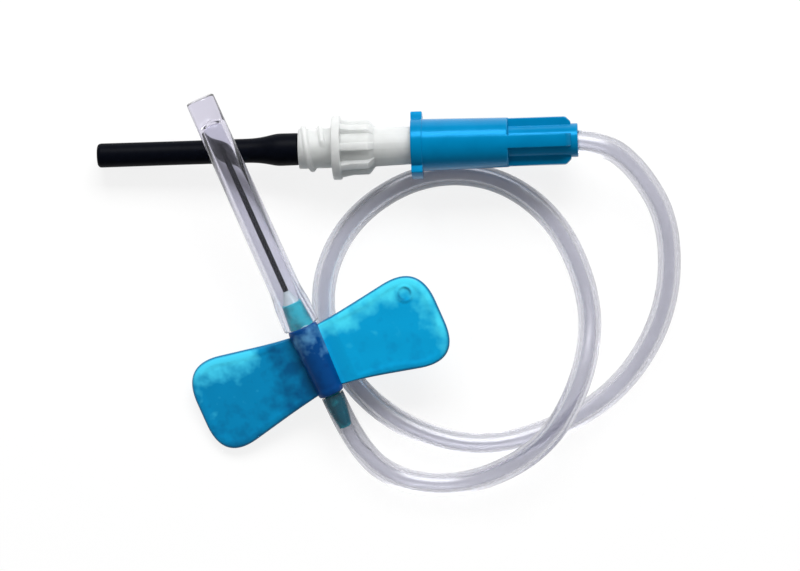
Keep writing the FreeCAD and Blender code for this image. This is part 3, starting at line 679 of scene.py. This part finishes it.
# ABS, injection moulded in a polished tool: bright blue, with slow waves of sink about 3 mm across.
# Its gloss is tinted, because the highlights of the real one stay blue.
glossy_abs = bpy.data.materials.new("glossy_blue_abs")
glossy_abs.use_nodes = True
abs_surface = glossy_abs.node_tree.nodes["Principled BSDF"]
abs_surface.inputs["IOR"].default_value = 1.53
abs_surface.inputs["Specular IOR Level"].default_value = 0.5
abs_surface.inputs["Specular Tint"].default_value = linear("#38B8FF")
abs_place = add_node(glossy_abs, "ShaderNodeTexCoord")
abs_clouds = add_node(glossy_abs, "ShaderNodeTexNoise", {
    "Vector": abs_place.outputs["Object"], "Scale": 1 / (3.0 * MM), "Detail": 2.0})
abs_tone = add_node(glossy_abs, "ShaderNodeMix", {
    "Factor": abs_clouds.outputs["Fac"], COLOUR_A: linear("#006A98"), COLOUR_B: linear("#007CAE")},
    data_type="RGBA")
abs_gloss = add_node(glossy_abs, "ShaderNodeMapRange", {
    "Value": abs_clouds.outputs["Fac"], "To Min": 0.16, "To Max": 0.28})
abs_sink = add_node(glossy_abs, "ShaderNodeBump", {
    "Height": abs_clouds.outputs["Fac"], "Strength": 0.2, "Distance": 0.2 * MM})
glossy_abs.node_tree.links.new(abs_tone.outputs[MIXED], abs_surface.inputs["Base Color"])
glossy_abs.node_tree.links.new(abs_gloss.outputs["Result"], abs_surface.inputs["Roughness"])
glossy_abs.node_tree.links.new(abs_sink.outputs["Normal"], abs_surface.inputs["Normal"])
connector.data.materials.append(glossy_abs)
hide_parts("luer_connector")
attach(connector, "set")


# Luer adapter: moulded in off-white polypropylene. Its thread screws into a blood tube's holder, its
# flange stops it there, its ribbed grip is for the fingers, and its cone plugs into the connector.
thread_start, thread_pitch, thread_turns, thread_fade = 23.95, 1.9, 1.25, 0.05
thread_root, thread_crest, thread_half_width = 2.3, 2.7, 0.3
thread_stations = np.linspace(23.5, 27.2, 90)
rib_half_width = 0.45
adapter_front = [(20.9, 0.44), (20.9, 1.33), (23.4, 1.33), (23.4, 2.3)]
adapter_back = [(27.3, 2.3), (27.3, 3.7), (28.3, 3.7), (28.3, 2.7), (29.6, 2.7), (31.5, 2.7), (32.2, 2.28),
                (42.0, 1.986), (42.0, 0.9), (34.0, 0.9), (34.0, 0.44)]
rib_back = [(27.3, 2.3), (27.3, 3.7), (28.3, 3.7), (28.3, 3.45), (29.6, 3.2), (31.5, 3.2), (32.2, 2.3)]
rib_back += adapter_back[7:]
adapter_softening = [0.05, 0.1, 0.05, 0.1, 0.1, 0.2, 0.2, 0.1, 0.3, 0.25, 0.15, 0.12, 0.1, 0.05, 0.05]
corner_points = 4
adapter_angles = full_turn(320)
core = softened(adapter_front + adapter_back, adapter_softening, steps=corner_points)
ribs = softened(adapter_front + rib_back, adapter_softening, steps=corner_points)
radii, stations = ridged(core, ribs, rib_half_width, from_nearest(adapter_angles, 0, 8))

# The thread is one ridge along a helix: at each angle its middle stands at start + pitch * turns so
# far, on the first time round and again on the second. The ridge falls off on both sides as a bell,
# and it rises out of the root and sinks back into it over a twentieth of a turn.
thread_radii = np.full((len(adapter_angles), len(thread_stations)), thread_root)
for lap in (0, 1):
    turns = adapter_angles[:, None] / (2 * np.pi) + lap
    beside = (thread_stations[None, :] - thread_start - thread_pitch * turns) / thread_half_width
    rise = np.clip(np.minimum(turns + thread_fade, thread_turns - turns) / thread_fade, 0, 1)
    thread_radii += (thread_crest - thread_root) * rise * np.exp(-beside ** 4)
ahead = corner_points * len(adapter_front)
thread_places = np.broadcast_to(thread_stations, thread_radii.shape)
adapter = skin("luer_adapter_moulding", turned(
    connector_line,
    np.concatenate([stations[:, :ahead], thread_places, stations[:, ahead:]], axis=1),
    np.concatenate([radii[:, :ahead], thread_radii, radii[:, ahead:]], axis=1),
    adapter_angles), loop=True)

# Natural polypropylene, injection moulded: a milky off-white that lets a little light through, waxy
# rather than shiny, with a matt grain from the mould, drawn at 0.25 mm so that it shows
milky_polypropylene = bpy.data.materials.new("milky_polypropylene")
milky_polypropylene.use_nodes = True
milky_surface = milky_polypropylene.node_tree.nodes["Principled BSDF"]
milky_surface.inputs["IOR"].default_value = 1.49
milky_surface.inputs["Roughness"].default_value = 0.45
milky_surface.inputs["Specular IOR Level"].default_value = 0.2
milky_surface.inputs["Transmission Weight"].default_value = 0.15
milky_surface.inputs["Subsurface Weight"].default_value = 0.8
milky_surface.inputs["Subsurface Radius"].default_value = (1, 1, 1)
milky_surface.inputs["Subsurface Scale"].default_value = 3.5 * MM
milky_place = add_node(milky_polypropylene, "ShaderNodeTexCoord")
milk_clouds = add_node(milky_polypropylene, "ShaderNodeTexNoise", {
    "Vector": milky_place.outputs["Object"], "Scale": 1 / (2.0 * MM), "Detail": 3.0})
milk_tone = add_node(milky_polypropylene, "ShaderNodeMix", {
    "Factor": milk_clouds.outputs["Fac"], COLOUR_A: linear("#C2C4C3"), COLOUR_B: linear("#DCDEDD")},
    data_type="RGBA")
milk_grain = add_node(milky_polypropylene, "ShaderNodeTexNoise", {
    "Vector": milky_place.outputs["Object"], "Scale": 1 / (0.25 * MM), "Detail": 2.0})
milk_bumps = add_node(milky_polypropylene, "ShaderNodeBump", {
    "Height": milk_grain.outputs["Fac"], "Strength": 0.2, "Distance": 0.03 * MM})
milky_polypropylene.node_tree.links.new(milk_tone.outputs[MIXED], milky_surface.inputs["Base Color"])
milky_polypropylene.node_tree.links.new(milk_bumps.outputs["Normal"], milky_surface.inputs["Normal"])
adapter.data.materials.append(milky_polypropylene)
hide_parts("adapter_hub")
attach(adapter, "adapter")


# Rear needle: a 21 gauge tube of the same steel, for the blood tube's stopper. It is fixed in the
# adapter's nipple with a drop of the same adhesive, and points back, away from the connector. Its
# stations count from the rubber sleeve's tip, and are below zero inside the sleeve.
rear_start = -32.9
rear_tip = -2.2
rear_bore = 0.25
rear_radius = 0.41
back_line = (line_origin, -line_along, line_side, -np.cross(line_along, line_side))
rear_needle = ground_tube("rear_needle", back_line, rear_start, rear_tip, rear_bore, rear_radius,
                          bevel_slope, side_grind_slope)
rear_needle.data.materials.append(drawn_steel)
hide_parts("rear_cannula")
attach(rear_needle, "adapter")

dab_line = softened([(20.1, 0.44), (20.1, 0.52), (20.9, 0.72), (20.9, 0.44)], 0.08)
dab = skin("nipple_adhesive",
           turned(connector_line, dab_line[:, 0], dab_line[:, 1], full_turn(40)), loop=True)
dab.data.materials.append(clear_adhesive)
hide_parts("adapter_adhesive")
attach(dab, "adapter")


# Rubber sleeve: black isoprene rubber, dipped as a closed finger. It is stretched over the nipple,
# covers the rear needle, and is pushed back when a blood tube is put on.
rubber_profile = [(0, 0), (0, 1.4), (9, 1.38), (18.6, 1.4), (20.9, 1.88), (23.3, 1.86), (23.3, 1.37),
                  (20.7, 1.37), (18.9, 0.88), (0.9, 0.88), (0.9, 0)]
rubber_softening = [0, 0.5, 2, 1.4, 0.5, 0.14, 0.1, 0.3, 0.3, 0.3, 0]
rubber_line = softened(rubber_profile, rubber_softening, loop=False, steps=7)
rubber = skin("rubber_sleeve_dipped",
              turned(connector_line, rubber_line[:, 0], rubber_line[:, 1], full_turn(72)), loop=False)

# Isoprene rubber, black and dusted with talc: matt, with a soft broad sheen and pale grains of dust
black_isoprene = bpy.data.materials.new("black_isoprene_rubber")
black_isoprene.use_nodes = True
rubber_surface = black_isoprene.node_tree.nodes["Principled BSDF"]
rubber_surface.inputs["IOR"].default_value = 1.52
rubber_surface.inputs["Roughness"].default_value = 0.45
rubber_surface.inputs["Specular IOR Level"].default_value = 0.03
rubber_place = add_node(black_isoprene, "ShaderNodeTexCoord")
rubber_dust = add_node(black_isoprene, "ShaderNodeTexNoise", {
    "Vector": rubber_place.outputs["Object"], "Scale": 1 / (0.7 * MM), "Detail": 4.0})
rubber_tone = add_node(black_isoprene, "ShaderNodeMix", {
    "Factor": rubber_dust.outputs["Fac"], COLOUR_A: linear("#020308"), COLOUR_B: linear("#080B14")},
    data_type="RGBA")
rubber_bumps = add_node(black_isoprene, "ShaderNodeBump", {
    "Height": rubber_dust.outputs["Fac"], "Strength": 0.3, "Distance": 0.05 * MM})
black_isoprene.node_tree.links.new(rubber_tone.outputs[MIXED], rubber_surface.inputs["Base Color"])
black_isoprene.node_tree.links.new(rubber_bumps.outputs["Normal"], rubber_surface.inputs["Normal"])
rubber.data.materials.append(black_isoprene)
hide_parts("rubber_sleeve")
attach(rubber, "adapter")


# Studio: a white table under a large, soft lamp that stands beyond the set, a pale sky, and a camera
# that looks straight down. The table shows white to the eye and in reflections, keeps a shadow, and
# shows less white through clear walls. The sky is brighter through them than elsewhere.
white_plain, white_lost_through = 0.82, 0.72
sky_plain, sky_gained_through = 0.28, 0.5
table_mesh = bpy.data.meshes.new("table")
table_mesh.from_pydata([(-2, -2, 0), (2, -2, 0), (2, 2, 0), (-2, 2, 0)], [], [(0, 1, 2, 3)])
table = bpy.data.objects.new("table", table_mesh)
table.location.z = -0.0001
bpy.context.scene.collection.objects.link(table)
white_table = bpy.data.materials.new("white_table")
white_table.use_nodes = True
table_paint = white_table.node_tree.nodes["Principled BSDF"]
table_paint.inputs["Base Color"].default_value = linear("#F4F4F4")
table_paint.inputs["Roughness"].default_value = 0.9
table_ray = add_node(white_table, "ShaderNodeLightPath")
table_seen = add_node(white_table, "ShaderNodeMath", {
    0: table_ray.outputs["Is Camera Ray"], 1: table_ray.outputs["Is Glossy Ray"]}, operation="MAXIMUM")
table_level = add_node(white_table, "ShaderNodeMath", {
    0: table_ray.outputs["Is Transmission Ray"], 1: -white_lost_through, 2: white_plain},
    operation="MULTIPLY_ADD")
table_share = add_node(white_table, "ShaderNodeMath", {
    0: table_seen.outputs[0], 1: table_level.outputs[0]}, operation="MULTIPLY")
table_white = add_node(white_table, "ShaderNodeEmission", {"Strength": 1.02})
table_mix = add_node(white_table, "ShaderNodeMixShader", {
    0: table_share.outputs[0], 1: table_paint.outputs["BSDF"], 2: table_white.outputs["Emission"]})
white_table.node_tree.links.new(table_mix.outputs["Shader"],
                                white_table.node_tree.nodes["Material Output"].inputs["Surface"])
table_mesh.materials.append(white_table)

sky = bpy.data.worlds.new("pale_sky")
sky.use_nodes = True
sky.node_tree.nodes["Background"].inputs["Color"].default_value = linear("#FFFFFF")
sky_ray = add_node(sky, "ShaderNodeLightPath")
sky_strength = add_node(sky, "ShaderNodeMath", {
    0: sky_ray.outputs["Is Transmission Ray"], 1: sky_gained_through, 2: sky_plain},
    operation="MULTIPLY_ADD")
sky.node_tree.links.new(sky_strength.outputs[0], sky.node_tree.nodes["Background"].inputs["Strength"])
bpy.context.scene.world = sky

lamp_light = bpy.data.lights.new("soft_lamp", "AREA")
lamp_light.shape = "RECTANGLE"
lamp_light.size = 0.4
lamp_light.size_y = 0.2
lamp_light.energy = 3.4
lamp = bpy.data.objects.new("soft_lamp", lamp_light)
lamp.location = (0.03, 0.37, 0.33)
lamp.rotation_euler = (np.radians(-48), 0, 0)
bpy.context.scene.collection.objects.link(lamp)

camera_lens = bpy.data.cameras.new("camera")
camera_lens.lens = 200
camera_lens.sensor_width = 36
camera_lens.clip_start = 0.01
camera = bpy.data.objects.new("camera", camera_lens)
camera.location = (0.00721, -0.00163, 0.5167)
bpy.context.scene.collection.objects.link(camera)
bpy.context.scene.camera = camera
bpy.context.scene.view_settings.view_transform = "Standard"
